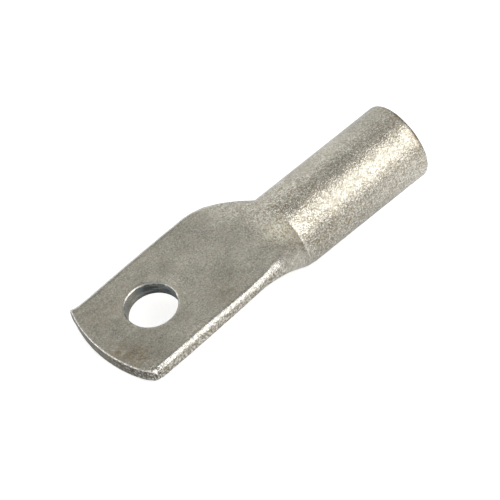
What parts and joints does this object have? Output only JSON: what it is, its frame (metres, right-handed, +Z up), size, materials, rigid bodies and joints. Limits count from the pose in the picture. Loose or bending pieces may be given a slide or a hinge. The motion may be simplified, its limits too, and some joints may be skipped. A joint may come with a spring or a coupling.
{
  "type": "cable lug",
  "caption": "Tubular crimp lug: a round barrel for a stripped conductor, pressed flat at the other end into a palm with a stud hole and an arc-shaped tip.",
  "frame": {"origin": "centre of the bounding box at the table, with the lug lying at rest", "axes": "+X towards the barrel's mouth along the table, +Z up, off the side of the palm that lies against a terminal"},
  "size_m": [0.0792, 0.0254, 0.0239],
  "materials": {
    "tinned_copper": "dull tin plating with a fine grain"
  },
  "bodies": {
    "root": {"cable_lug": "tinned_copper"}
  },
  "joints": []
}
